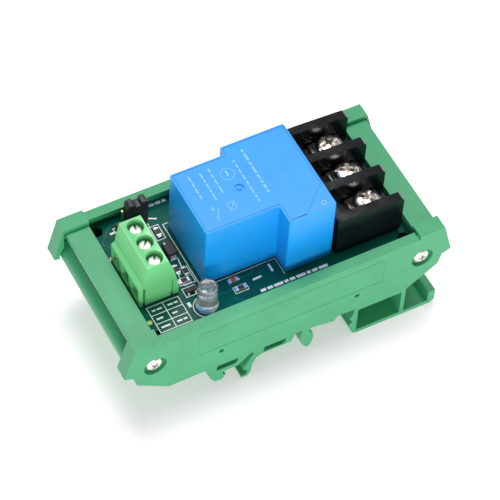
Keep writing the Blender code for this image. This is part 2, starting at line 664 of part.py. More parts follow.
def build_terminal_hardware():
    """Screw, rising cage and contact plate of one pole, copied along the terminal."""
    head = [(0, 13.4), (1.5, 13.4), (1.85, 13.1), (1.85, 11.8), (1.2, 11.8), (1.2, 5.75),
            (0, 5.75)]
    screw = cut(turned(head, 24), box((-2, -0.25, 12.6), (2, 0.25, 14)))
    cage = box((-2.05, -1.6, 1.4), (2.05, 1.6, 7.0))
    cage = cut(cage, box((-3, -1.0, 2.1), (3, 1.0, 5.65)), cylinder((0, 0), 1.35, 3.6, 8, "Z", 20))
    pin_x = TERMINAL_PIN_X - TERMINAL_SCREW_X
    plate = box((-1.7, -0.85, 4.9), (pin_x + 0.3, 0.85, 5.5))
    tongue = box((pin_x - 0.3, -0.5, LEAD_END - BOARD_TOP), (pin_x + 0.3, 0.5, 5.2))
    shapes = {"screw": (screw, NICKEL), "cage": (cage, BRASS),
              "pin": (join(plate, tongue), TINNED_COPPER)}
    for kind, (shape, material) in shapes.items():
        first = None
        for index, y in enumerate(terminal_centres(), 1):
            place = (TERMINAL_SCREW_X, y, BOARD_TOP)
            name = f"terminal_{kind}_{index}"
            if first is None:
                first = part(shape, name, material, place)
            else:
                copy_of(first, name, place)


build_tray()
build_plates()
build_plate_screws()
build_board()
build_chips()
build_status_lamp()
build_header()
build_jumper()
build_relay_case()
build_relay_magnet()
build_relay_armature()
build_relay_contacts()
build_barrier_body()
build_barrier_hardware()
build_terminal_housing()
build_terminal_hardware()
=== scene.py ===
"""Looks of the relay module: camera, light, materials and finely shaped pieces.

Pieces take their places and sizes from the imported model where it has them. Other numbers are
millimetres in the model's own frame unless a comment says otherwise; MM turns them into metres.
"""

import json
import math
import random

import bmesh
import bpy
from mathutils import Matrix, Vector


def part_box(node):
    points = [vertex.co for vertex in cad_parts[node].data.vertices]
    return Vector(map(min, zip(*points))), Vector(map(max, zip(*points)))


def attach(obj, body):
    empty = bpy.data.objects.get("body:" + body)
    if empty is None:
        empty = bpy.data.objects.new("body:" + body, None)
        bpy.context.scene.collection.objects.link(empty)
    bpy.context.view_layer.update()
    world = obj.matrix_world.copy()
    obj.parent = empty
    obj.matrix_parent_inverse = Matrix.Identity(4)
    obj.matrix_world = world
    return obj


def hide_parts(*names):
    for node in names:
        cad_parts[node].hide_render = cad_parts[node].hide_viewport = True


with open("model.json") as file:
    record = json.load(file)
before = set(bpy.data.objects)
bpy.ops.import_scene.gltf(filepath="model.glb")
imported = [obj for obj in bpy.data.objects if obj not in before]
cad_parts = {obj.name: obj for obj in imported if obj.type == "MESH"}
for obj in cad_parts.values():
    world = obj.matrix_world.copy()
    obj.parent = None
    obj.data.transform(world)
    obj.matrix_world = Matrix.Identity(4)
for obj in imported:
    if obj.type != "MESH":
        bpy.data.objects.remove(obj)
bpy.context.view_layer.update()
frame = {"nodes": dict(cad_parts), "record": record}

MM = 0.001
NODES = frame["nodes"]
BODY_OF = {node: body for body, nodes in frame["record"]["behaviour"]["bodies"].items()
           for node in nodes}


def low_high(node):
    """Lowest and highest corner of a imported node, in millimetres."""
    low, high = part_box(node)
    return Vector(low) / MM, Vector(high) / MM


def middle(node):
    """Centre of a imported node's box, in millimetres."""
    low, high = low_high(node)
    return (low + high) / 2


BOARD_LOW, BOARD_HIGH = low_high("pcb")
BOARD_TOP = BOARD_HIGH.z
RELAY_LOW, RELAY_HIGH = low_high("relay_case")
BARRIER_LOW, BARRIER_HIGH = low_high("barrier_body")
TERMINAL_LOW, TERMINAL_HIGH = low_high("terminal_housing")
PLATE_OUTER_Y = low_high("side_plate_far")[1].y
MERGE_DISTANCE = 0.0005     # points of a finished shape closer than this are one
FLAT_ANGLE = 1.0            # degrees: packed triangles closer than this make one flat face
PRINT_THICKNESS = 0.03
LAYER = 0.0015              # lift between printed bars, so that crossing ones don't coincide
LAYERS = 9                  # bars after which the lift starts again


# ---------------------------------------------------------------- shape tools

def new_object(data, name="shape"):
    """Object in the scene for a mesh or a curve."""
    obj = bpy.data.objects.new(name, data)
    bpy.context.scene.collection.objects.link(obj)
    return obj


def from_bmesh(bm):
    """Object for a mesh that was being built."""
    mesh = bpy.data.meshes.new("shape")
    bm.to_mesh(mesh)
    bm.free()
    return new_object(mesh)


def bake(obj):
    """Replace an object by the plain mesh that its curve or modifiers make."""
    bpy.context.view_layer.update()
    graph = bpy.context.evaluated_depsgraph_get()
    mesh = bpy.data.meshes.new_from_object(obj.evaluated_get(graph))
    mesh.transform(obj.matrix_world)
    bm = bmesh.new()
    bm.from_mesh(mesh)
    bmesh.ops.remove_doubles(bm, verts=bm.verts, dist=MERGE_DISTANCE * MM)
    bm.to_mesh(mesh)
    bm.free()
    bpy.data.objects.remove(obj, do_unlink=True)
    return new_object(mesh)


def add_box(bm, low, high):
    """Add a box between two corners to a mesh that is being built."""
    low = Vector(low) * MM
    high = Vector(high) * MM
    size = high - low
    place = Matrix.Translation((low + high) / 2) @ Matrix.Diagonal((*size, 1))
    bmesh.ops.create_cube(bm, size=1.0, matrix=place)


def box(low, high):
    """Box between two corners."""
    bm = bmesh.new()
    add_box(bm, low, high)
    return from_bmesh(bm)


def boxes(spans):
    """Several boxes in one mesh; each span is a low and a high corner."""
    bm = bmesh.new()
    for low, high in spans:
        add_box(bm, low, high)
    return from_bmesh(bm)


AXIS_TURN = {               # turns a prism made along Z to the named axis
    "X": Matrix(((0, 0, 1), (1, 0, 0), (0, 1, 0))).to_4x4(),
    "Y": Matrix(((1, 0, 0), (0, 0, -1), (0, 1, 0))).to_4x4(),
    "Z": Matrix.Identity(4),
}


def circle(centre, radius, sides=40):
    """Closed round outline."""
    step = 2 * math.pi / sides
    return [(centre[0] + radius * math.cos(i * step), centre[1] + radius * math.sin(i * step))
            for i in range(sides)]


def span(at, side, near, far):
    """Two distances from a middle place, on side -1 or 1, in rising order."""
    return sorted((at + side * near, at + side * far))


def rectangle(left, right, low, high):
    return [(left, low), (right, low), (right, high), (left, high)]


def rounded(outline, radius, steps=5):
    """The same closed outline with an arc of the given radius at each corner."""
    points = []
    count = len(outline)
    for i, corner in enumerate(outline):
        corner = Vector(corner)
        before = (Vector(outline[i - 1]) - corner).normalized()
        after = (Vector(outline[(i + 1) % count]) - corner).normalized()
        half = before.angle(after) / 2
        reach = radius / math.tan(half)
        start = corner + before * reach
        end = corner + after * reach
        centre = corner + (before + after).normalized() * radius / math.sin(half)
        for k in range(steps + 1):
            share = k / steps
            mix = start.lerp(end, share) - centre
            points.append(tuple(centre + mix.normalized() * radius))
    return points


def prism(outline, low, high, axis="Z", holes=()):
    """Flat outline with holes, extruded between two planes square to an axis."""
    curve = bpy.data.curves.new("outline", "CURVE")
    curve.dimensions = "2D"
    curve.fill_mode = "BOTH"
    curve.extrude = (high - low) / 2 * MM
    for edge in (outline, *holes):
        spline = curve.splines.new("POLY")
        spline.points.add(len(edge) - 1)
        for point, (u, v) in zip(spline.points, edge):
            point.co = (u * MM, v * MM, 0, 1)
        spline.use_cyclic_u = True
    solid = bake(new_object(curve, "outline"))
    middle_w = (low + high) / 2 if axis != "Y" else -(low + high) / 2
    solid.data.transform(AXIS_TURN[axis] @ Matrix.Translation((0, 0, middle_w * MM)))
    return solid


def turned(profile, steps=48, closed=False):
    """Solid of revolution about Z; the profile of (radius, height) runs down its outer side."""
    mesh = bpy.data.meshes.new("profile")
    edges = [(i, i + 1) for i in range(len(profile) - 1)]
    if closed:
        edges.append((len(profile) - 1, 0))
    mesh.from_pydata([(r * MM, 0, z * MM) for r, z in profile], edges, [])
    obj = new_object(mesh)
    screw = obj.modifiers.new("turn", "SCREW")
    screw.steps = steps
    screw.render_steps = steps
    screw.use_merge_vertices = True
    screw.merge_threshold = 0.001 * MM
    return bake(obj)


def arc(centre, radius, start, end, steps):
    """Points on an arc, angles in degrees."""
    points = []
    for i in range(steps + 1):
        angle = math.radians(start + (end - start) * i / steps)
        points.append((centre[0] + radius * math.cos(angle), centre[1] + radius * math.sin(angle)))
    return points


def combine(base, tools, operation):
    """Boolean of a base with each tool in turn; base and tools are used up."""
    for tool in tools:
        modifier = base.modifiers.new(operation.lower(), "BOOLEAN")
        modifier.operation = operation
        modifier.object = tool
        modifier.solver = "EXACT"
    result = bake(base)
    for tool in tools:
        bpy.data.objects.remove(tool, do_unlink=True)
    return result


def cut(base, *tools):
    return combine(base, tools, "DIFFERENCE")


def join(base, *tools):
    return combine(base, tools, "UNION")


def merge(*objs):
    """Several shapes in one mesh, each left a separate shell."""
    bm = bmesh.new()
    for obj in objs:
        mesh = obj.data.copy()
        mesh.transform(obj.matrix_world)
        bm.from_mesh(mesh)
        bpy.data.objects.remove(obj, do_unlink=True)
    return from_bmesh(bm)


def moved(obj, x=0.0, y=0.0, z=0.0, turn=None):
    """Shift a shape's own mesh, after an optional turn matrix."""
    if turn is not None:
        obj.data.transform(turn)
    obj.data.transform(Matrix.Translation(Vector((x, y, z)) * MM))
    return obj


def copied(obj):
    return new_object(obj.data.copy())


def round_edges(obj, width, segments=3, angle=50.0, clamp=True):
    """Rounded edges whose flat neighbours keep flat shading."""
    modifier = obj.modifiers.new("round_edges", "BEVEL")
    modifier.width = width * MM
    modifier.segments = segments
    modifier.limit_method = "ANGLE"
    modifier.angle_limit = math.radians(angle)
    modifier.harden_normals = True
    modifier.use_clamp_overlap = clamp
    modifier.miter_outer = "MITER_ARC"
    return obj


def even_shading(obj):
    """Keep large flat faces flat next to rounded edges that were cut again."""
    obj.modifiers.new("even_shading", "WEIGHTED_NORMAL").keep_sharp = True
    return obj


def from_node(node, weld=0.001):
    """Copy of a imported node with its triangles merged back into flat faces."""
    bm = bmesh.new()
    bm.from_mesh(NODES[node].data)
    bmesh.ops.remove_doubles(bm, verts=bm.verts, dist=weld * MM)
    bmesh.ops.dissolve_limit(bm, angle_limit=math.radians(FLAT_ANGLE), verts=bm.verts,
                             edges=bm.edges)
    return from_bmesh(bm)


def piece(obj, name, material, like=None, body=None, replaces=(), sharp=40.0):
    """Finish a shape as a named piece: shading, material, body and the nodes it stands for."""
    obj.name = name
    obj.data.name = name
    obj.data.materials.clear()
    obj.data.materials.append(material)
    obj.data.shade_smooth()
    obj.data.set_sharp_from_angle(angle=math.radians(sharp))
    nodes = [like] if like else list(replaces)
    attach(obj, body or BODY_OF[nodes[0]])
    if nodes:
        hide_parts(*nodes)
    return obj


# ---------------------------------------------------------------- materials

TONE_SHIFT, ROUGH_SHIFT, RELIEF_SHIFT = 0.0, 5.0, 9.0     # keep the noise patterns apart
NOISE_LOW, NOISE_HIGH = 0.3, 0.7                          # where nearly all of the noise lies


class Shader:
    """Small helper that builds one procedural Principled material."""

    def __init__(self, name, roughness, metallic=0.0, **sockets):
        self.material = bpy.data.materials.new(name)
        self.material.use_nodes = True
        self.tree = self.material.node_tree
        self.bsdf = self.tree.nodes["Principled BSDF"]
        self.bsdf.inputs["Roughness"].default_value = roughness
        self.bsdf.inputs["Metallic"].default_value = metallic
        for socket, value in sockets.items():
            self.bsdf.inputs[socket.replace("_", " ")].default_value = value
        self.place = self.tree.nodes.new("ShaderNodeTexCoord").outputs["Object"]
        self.height = None

    def noise(self, scale, stretch, shift, detail=3.0):
        """Noise in object space; scale is features per metre."""
        mapping = self.tree.nodes.new("ShaderNodeMapping")
        mapping.inputs["Scale"].default_value = [scale * s for s in stretch]
        mapping.inputs["Location"].default_value = (shift, shift * 0.37, shift * 0.71)
        self.tree.links.new(self.place, mapping.inputs["Vector"])
        texture = self.tree.nodes.new("ShaderNodeTexNoise")
        texture.inputs["Scale"].default_value = 1.0
        texture.inputs["Detail"].default_value = detail
        self.tree.links.new(mapping.outputs["Vector"], texture.inputs["Vector"])
        return texture.outputs["Fac"]

    def ramp(self, factor, *stops):
        """Colour ramp; each stop is (position, colour)."""
        node = self.tree.nodes.new("ShaderNodeValToRGB")
        elements = node.color_ramp.elements
        while len(elements) < len(stops):
            elements.new(0.5)
        for element, (position, colour) in zip(elements, stops):
            element.position = position
            element.color = (*colour, 1.0)
        self.tree.links.new(factor, node.inputs["Fac"])
        return node.outputs["Color"]

    def colour(self, output):
        self.tree.links.new(output, self.bsdf.inputs["Base Color"])
        return self

    def tones(self, colour, spread, scale, stretch=(1, 1, 1)):
        """Base colour that drifts a little lighter and darker over the surface."""
        dark = [c * (1 - spread) for c in colour]
        light = [min(1.0, c * (1 + spread)) for c in colour]
        factor = self.noise(scale, stretch, TONE_SHIFT, 4.0)
        return self.colour(self.ramp(factor, (NOISE_LOW, dark), (NOISE_HIGH, light)))

    def roughness(self, low, high, scale, stretch=(1, 1, 1)):
        """Roughness that drifts between two values over the surface."""
        node = self.tree.nodes.new("ShaderNodeMapRange")
        node.inputs["From Min"].default_value = NOISE_LOW
        node.inputs["From Max"].default_value = NOISE_HIGH
        node.inputs["To Min"].default_value = low
        node.inputs["To Max"].default_value = high
        self.tree.links.new(self.noise(scale, stretch, ROUGH_SHIFT), node.inputs["Value"])
        self.tree.links.new(node.outputs["Result"], self.bsdf.inputs["Roughness"])
        return self

    def bump(self, scale, depth, strength=1.0, stretch=(1, 1, 1)):
        """Surface relief; depth in millimetres. Calls add up."""
        node = self.tree.nodes.new("ShaderNodeBump")
        node.inputs["Distance"].default_value = depth * MM
        node.inputs["Strength"].default_value = strength
        self.tree.links.new(self.noise(scale, stretch, RELIEF_SHIFT), node.inputs["Height"])
        if self.height is not None:
            self.tree.links.new(self.height, node.inputs["Normal"])
        self.height = node.outputs["Normal"]
        self.tree.links.new(self.height, self.bsdf.inputs["Normal"])
        return self


def moulded_green():
    """Satin moulded plastic of the end plates: fine spark-eroded grain and flow shading."""
    shader = Shader("moulded_green", 0.42, Specular_IOR_Level=0.45)
    shader.tones((0.045, 0.345, 0.150), 0.07, 90)
    shader.roughness(0.36, 0.50, 700).bump(4200, 0.010, 0.5).bump(180, 0.02, 0.35)
    return shader.material


def extruded_green():
    """Extruded tray: faint draw lines along the rail direction."""
    shader = Shader("extruded_green", 0.36, Specular_IOR_Level=0.5)
    shader.tones((0.045, 0.345, 0.150), 0.06, 70)
    shader.roughness(0.28, 0.42, 900, (1, 0.02, 1))
    shader.bump(2400, 0.012, 0.5, (1, 0.01, 1)).bump(3000, 0.004, 0.4)
    return shader.material


def solder_mask():
    """Glossy solder mask over a faint weave of glass cloth."""
    shader = Shader("solder_mask", 0.16, Specular_IOR_Level=0.28)
    shader.tones((0.001, 0.088, 0.064), 0.16, 130)
    shader.roughness(0.12, 0.2, 500).bump(1900, 0.006, 0.4, (1, 1, 0.2))
    return shader.material


def masked_copper():
    """Copper tracks seen through the solder mask: a little paler than the bare board."""
    shader = Shader("masked_copper", 0.16, Specular_IOR_Level=0.28)
    shader.tones((0.002, 0.135, 0.098), 0.10, 200)
    shader.roughness(0.12, 0.2, 600).bump(1900, 0.004, 0.4)
    return shader.material


def white_ink(name, colour=(0.86, 0.88, 0.86), roughness=0.5):
    """Printed ink with slightly uneven cover."""
    shader = Shader(name, roughness)
    shader.tones(colour, 0.08, 2600)
    shader.bump(5200, 0.004, 0.5)
    return shader.material


def relay_plastic():
    """Glossy blue polyester case with soft sink marks and fine scuffs."""
    shader = Shader("relay_plastic", 0.34, Specular_IOR_Level=0.55)
    shader.tones((0.004, 0.315, 0.830), 0.05, 110)
    shader.roughness(0.30, 0.40, 420).bump(140, 0.03, 0.4).bump(3600, 0.004, 0.35)
    return shader.material


def barrier_plastic():
    """Black phenolic: polished faces with shallow waves and some dust in the pores."""
    shader = Shader("barrier_plastic", 0.2, Specular_IOR_Level=0.42)
    shader.tones((0.0050, 0.0064, 0.0085), 0.22, 320)
    shader.roughness(0.14, 0.26, 380).bump(260, 0.05, 0.35).bump(5200, 0.005, 0.4)
    return shader.material


def black_moulding(name="black_moulding", colour=(0.018, 0.018, 0.022), roughness=0.42):
    """Matt black plastic with a fine grain."""
    shader = Shader(name, roughness)
    shader.tones(colour, 0.2, 900)
    shader.bump(5200, 0.010, 0.6)
    return shader.material


def nickel(name="nickel_plate", tint=(0.80, 0.785, 0.75), rough=(0.10, 0.24)):
    """Bright nickel plate with fine turning marks and small dull patches."""
    shader = Shader(name, rough[0], 1.0)
    shader.tones(tint, 0.10, 700)
    shader.roughness(rough[0], rough[1], 900)
    shader.bump(2600, 0.010, 0.5).bump(900, 0.02, 0.3)
    return shader.material


def terminal_green():
    """Paler polyamide of the signal terminal."""
    shader = Shader("terminal_green", 0.34, Specular_IOR_Level=0.7)
    shader.tones((0.165, 0.640, 0.240), 0.05, 160)
    shader.roughness(0.28, 0.42, 600).bump(4200, 0.008, 0.5).bump(220, 0.015, 0.3)
    return shader.material


def metal(name, tint, rough=(0.2, 0.4), grain=1800):
    """Plain sheet, strip or plated metal with uneven polish."""
    shader = Shader(name, rough[0], 1.0)
    shader.tones(tint, 0.12, 800)
    shader.roughness(rough[0], rough[1], 1000).bump(grain, 0.008, 0.5)
    return shader.material


def winding():
    """Enamelled copper: fine turns stacked along the coil's axis."""
    shader = Shader("coil_winding", 0.28, 1.0)
    shader.tones((0.72, 0.30, 0.13), 0.15, 1600, (0.05, 0.05, 4))
    shader.bump(3600, 0.05, 0.8, (0.03, 0.03, 3))
    return shader.material


def clear_epoxy():
    """Cast water-clear epoxy with faint flow marks; only its gloss varies."""
    shader = Shader("clear_epoxy", 0.08, IOR=1.5, Transmission_Weight=0.9)
    shader.tones((0.95, 0.965, 0.98), 0.015, 500)
    shader.roughness(0.05, 0.12, 700).bump(380, 0.004, 0.3)
    return shader.material


def ceramic():
    """Off-white fired ceramic."""
    shader = Shader("ceramic", 0.45)
    shader.tones((0.80, 0.79, 0.75), 0.06, 1500)
    shader.bump(4200, 0.008, 0.5)
    return shader.material


def nylon():
    """Uncoloured nylon of the bobbin."""
    shader = Shader("natural_nylon", 0.45, Subsurface_Weight=0.1, Subsurface_Scale=0.001)
    shader.tones((0.76, 0.73, 0.63), 0.06, 300)
    shader.bump(3000, 0.010, 0.5)
    return shader.material


def red_lens():
    """Tinted resin window of the chip lamp."""
    shader = Shader("red_lens", 0.12, Coat_Weight=0.6)
    shader.tones((0.62, 0.045, 0.02), 0.2, 2200)
    shader.bump(1400, 0.01, 0.4)
    return shader.material


MOULDED_GREEN = moulded_green()
EXTRUDED_GREEN = extruded_green()
SOLDER_MASK = solder_mask()
MASKED_COPPER = masked_copper()
BOARD_INK = white_ink("board_ink")
RELAY_INK = white_ink("relay_ink", (0.20, 0.53, 0.93), 0.4)
RELAY_PLASTIC = relay_plastic()
BARRIER_PLASTIC = barrier_plastic()
BLACK_MOULDING = black_moulding()
CHIP_EPOXY = black_moulding("chip_epoxy", (0.026, 0.024, 0.028), 0.5)
NICKEL = nickel(tint=(0.84, 0.80, 0.73), rough=(0.16, 0.30))
# painted shade: nickel tint darkened for the barrier strips and clamp washers, which lie in shadow
# beside the screws; its smoother polish is their own
PAINTED_SHADE_NICKEL = nickel("washer_nickel_painted_shade", (0.46, 0.45, 0.44), (0.10, 0.22))
SCREW_NICKEL = nickel("plate_screw_nickel", (0.80, 0.78, 0.74), (0.22, 0.36))
TERMINAL_NICKEL = nickel("terminal_screw_nickel", (0.62, 0.61, 0.59), (0.24, 0.38))
TERMINAL_GREEN = terminal_green()
TIN = metal("tin_plate", (0.80, 0.80, 0.78), (0.30, 0.48))
SOLDER = metal("solder", (0.78, 0.79, 0.80), (0.12, 0.3), 1200)
COPPER = metal("copper_strip", (0.76, 0.36, 0.20), (0.2, 0.38))
BRASS = metal("brass_strip", (0.80, 0.60, 0.27), (0.18, 0.36))
IRON = metal("plated_iron", (0.52, 0.51, 0.49), (0.3, 0.5), 900)
GOLD = metal("gold_pad", (0.86, 0.66, 0.34), (0.14, 0.26))
CLEAR_EPOXY = clear_epoxy()
CERAMIC = ceramic()
NYLON = nylon()
RED_LENS = red_lens()


# ---------------------------------------------------------------- carrier

CARRIER_WELD = 0.06                         # merges the fine facets of curved edges
PANEL_LEFT, PANEL_RIGHT = -25.3, 25.8       # blank label panel on the outer faces
PANEL_LOW, PANEL_HIGH = 18.5, 27.3
PANEL_LINE = 0.2
HOOK_SLOTS = ((-19.8, -13.95), (-6.8, -0.7))
HOOK_SLOT_LOW, HOOK_SLOT_HIGH = 9.3, 10.5
PLATE_WALL = 1.8
SCREW_RECESS = 1.0


def build_plates():
    """End plates with softened edges and the shallow label panel on the outer face."""
    line = PANEL_LINE
    panel = rounded(rectangle(PANEL_LEFT, PANEL_RIGHT, PANEL_LOW, PANEL_HIGH), 0.8)
    inner = rounded(rectangle(PANEL_LEFT + line, PANEL_RIGHT - line, PANEL_LOW + line,
                              PANEL_HIGH - line), 0.65)
    for side, end in ((-1, "near"), (1, "far")):
        node = f"side_plate_{end}"
        wall = span(0, side, PLATE_OUTER_Y - PLATE_WALL, PLATE_OUTER_Y + 1)
        slots = [prism(rounded(rectangle(*ends, HOOK_SLOT_LOW, HOOK_SLOT_HIGH), 0.4, 3), *wall, "Y")
                 for ends in HOOK_SLOTS]
        plate = round_edges(cut(from_node(node, CARRIER_WELD), *slots), 0.25, 2, 28)
        depth = span(0, side, PLATE_OUTER_Y - 0.06, PLATE_OUTER_Y + 0.02)
        plate = even_shading(cut(plate, prism(panel, *depth, "Y", [inner])))
        piece(plate, f"carrier_end_{end}", MOULDED_GREEN, like=node)


def build_tray():
    """Extruded tray with its edges just broken."""
    tray = round_edges(from_node("profile_tray", CARRIER_WELD), 0.18, 2, 28, clamp=False)
    piece(tray, "carrier_tray", EXTRUDED_GREEN, like="profile_tray")


def phillips(radius, top, depth, width):
    """Tapered cross-recess cutter pointing down from a height."""
    bars = []
    for turn in (0, math.pi / 2):
        bm = bmesh.new()
        add_box(bm, (-radius, -width / 2, top - depth), (radius, width / 2, top + 0.6))
        for vert in bm.verts:
            if vert.co.z < (top - depth / 2) * MM:      # draw in the lower end
                vert.co.x *= 0.45
                vert.co.y *= 0.6
        bmesh.ops.rotate(bm, verts=bm.verts, matrix=Matrix.Rotation(turn, 3, "Z"))
        bars.append(from_bmesh(bm))
    return bars


def build_plate_screws():
    """Low pan heads; each is made upright, then laid on its plate facing outwards."""
    rise = 0.95
    profile = [(0, rise), (0.7, 0.93), (1.3, 0.85), (1.8, 0.68), (2.15, 0.42), (2.35, 0.12),
               (2.35, 0.0), (1.15, 0.0), (1.15, -7.0), (0.6, -8.0), (0, -8.3)]
    shape = cut(turned(profile), *phillips(1.4, rise, 0.8, 0.6))
    for index in range(1, 5):
        node = f"plate_screw_{index}"
        spot = middle(node)
        side = -1 if spot.y < 0 else 1
        spin = Matrix.Rotation(math.radians(20 + 35 * index), 4, "Z")     # each stops elsewhere
        turn = Matrix.Rotation(-side * math.pi / 2, 4, "X") @ spin
        seat = side * (PLATE_OUTER_Y - SCREW_RECESS)
        screw = moved(copied(shape), spot.x, seat, spot.z, turn)
        piece(screw, f"carrier_screw_{index}", SCREW_NICKEL, like=node)
    bpy.data.objects.remove(shape, do_unlink=True)


# ---------------------------------------------------------------- board

CORNER_HOLES = [(side * 33.7, y) for side in (-1, 1) for y in (17.3, -17.0)]
CORNER_HOLE_RADIUS = 1.6
BOARD_INK_LEVEL = (BOARD_TOP + 0.01, BOARD_TOP + PRINT_THICKNESS)
TRACK_LEVEL = (BOARD_TOP - 0.01, BOARD_TOP + 0.012)
LINE = 0.2                              # width of a printed line
BAR_LENGTHS = (0.8, 1.2, 1.6, 2.2)      # drawn at random for rows of plain bars


def build_board():
    """Board with rounded corners and its four mounting holes."""
    edge = rounded(rectangle(BOARD_LOW.x, BOARD_HIGH.x, BOARD_LOW.y, BOARD_HIGH.y), 0.6)
    holes = [circle(place, CORNER_HOLE_RADIUS) for place in CORNER_HOLES]
    board = prism(edge, BOARD_LOW.z, BOARD_TOP, "Z", holes)
    piece(round_edges(board, 0.08, 2), "board", SOLDER_MASK, like="pcb")


def strip(bm, start, end, width, level):
    """Thin straight bar from one point to another; the level is its low and high face."""
    start, end = Vector(start), Vector(end)
    run = end - start
    bars_so_far = len(bm.verts) // 8        # eight corners each
    low, high = level
    high += LAYER * (bars_so_far % LAYERS)
    place = Matrix.Translation((*((start + end) / 2 * MM), (low + high) / 2 * MM))
    place = place @ Matrix.Rotation(math.atan2(run.y, run.x), 4, "Z")
    size = ((run.length + width) * MM, width * MM, (high - low) * MM, 1)
    bmesh.ops.create_cube(bm, size=1.0, matrix=place @ Matrix.Diagonal(size))


def path(bm, points, width, level):
    """Bars from point to point."""
    for start, end in zip(points, points[1:]):
        strip(bm, start, end, width, level)


def loop(bm, outline, width, level):
    """Bars round a closed outline."""
    path(bm, outline + outline[:1], width, level)


def frame_round(bm, node, half_x, half_y):
    """Printed frame round a part, by its half width and half depth."""
    spot = middle(node)
    loop(bm, rectangle(spot.x - half_x, spot.x + half_x, spot.y - half_y, spot.y + half_y), LINE,
         BOARD_INK_LEVEL)


def dashes(bm, start, end, tall, seed, level, gap=0.35):
    """Row of plain bars of uneven length: stands for a printed line without any lettering."""
    chance = random.Random(seed)
    start, end = Vector(start), Vector(end)
    run = (end - start).normalized()
    length = (end - start).length
    at = 0.0
    while at < length:
        bar = chance.choice(BAR_LENGTHS) + tall * 0.3
        if at and at + bar > length + 0.1:
            break
        strip(bm, start + run * (at + tall / 2), start + run * (at + bar - tall / 2), tall, level)
        at += bar + gap


def print_wiring_table(bm):
    """Blank table of three rows and two columns, with a row of bars in each cell."""
    left, right, low, high = -32.8, -24.4, -16.5, -8.6
    centre = (left + right) / 2
    rows = 3
    row = (high - low) / rows
    loop(bm, rectangle(left, right, low, high), LINE, BOARD_INK_LEVEL)
    strip(bm, (centre, low), (centre, high), LINE, BOARD_INK_LEVEL)
    for i in range(rows):
        base = low + i * row
        if i:
            strip(bm, (left, base), (right, base), LINE, BOARD_INK_LEVEL)
        for k, start in enumerate((left, centre)):
            dashes(bm, (start + 0.8, base + row / 2), (start + 3.6, base + row / 2), 0.5, 7 * i + k,
                   BOARD_INK_LEVEL)


def print_outlines(bm):
    """Frames round the small parts, and corner lines beside the relay and the terminals."""
    ink = BOARD_INK_LEVEL
    beside_relay = RELAY_LOW.x - 0.85
    path(bm, [(RELAY_LOW.x + 0.4, 12.3), (beside_relay, 12.3), (beside_relay, -7.6)], LINE, ink)
    path(bm, [(-15.0, -8.9), (2.05, -8.75), (2.05, -13.9)], LINE * 0.8, ink)
    frame_round(bm, "resistor_1", 1.15, 2.25)
    frame_round(bm, "resistor_4", 1.5, 0.95)
    frame_round(bm, "resistor_5", 1.75, 0.95)
    frame_round(bm, "driver_transistor", 1.7, 1.35)
    loop(bm, rectangle(-21.5, RELAY_LOW.x - 1.3, -6.5, -1.5), LINE, ink)
    frame_round(bm, "header_base", 4.2, 1.65)
    path(bm, [(TERMINAL_LOW.x - 0.4, 8.4), (TERMINAL_HIGH.x + 0.4, 8.4)], LINE, ink)
    path(bm, [(-34.9, 8.0), (-33.9, 8.0), (-33.9, 8.8)], LINE, ink)
    path(bm, [(-19.3, 1.9), (-19.6, -1.1)], 0.28, ink)
    lamp = middle("status_led_lens")
    path(bm, arc((lamp.x, lamp.y), 3.3, 115, 250, 14), LINE, ink)


def build_board_print():
    """White print: component outlines, a blank wiring table and rows of plain bars."""
    bm = bmesh.new()
    print_wiring_table(bm)
    print_outlines(bm)
    labels = (                          # start, end, height of the bars, seed
        ((-23.0, -11.4), (-23.0, -15.4), 0.8, 21),
        ((-18.7, 19.0), (-14.0, 19.0), 0.9, 22),
        ((-31.0, 15.2), (-30.2, 15.2), 0.6, 23),
        ((-20.6, 15.6), (-19.8, 15.2), 0.4, 27),
        ((-5.8, -12.2), (-2.2, -12.0), 0.6, 24),
        ((-0.2, -9.6), (-0.2, -12.2), 0.6, 25),
    )
    for start, end, tall, seed in labels:
        dashes(bm, start, end, tall, seed, BOARD_INK_LEVEL)
    dashes(bm, (-5.6, -16.0), (14.2, -16.1), 0.8, 26, BOARD_INK_LEVEL, 0.4)    # near edge
    dashes(bm, (33.9, -12.6), (33.9, -15.2), 0.8, 28, BOARD_INK_LEVEL)
    piece(from_bmesh(bm), "board_print", BOARD_INK, body="carrier")


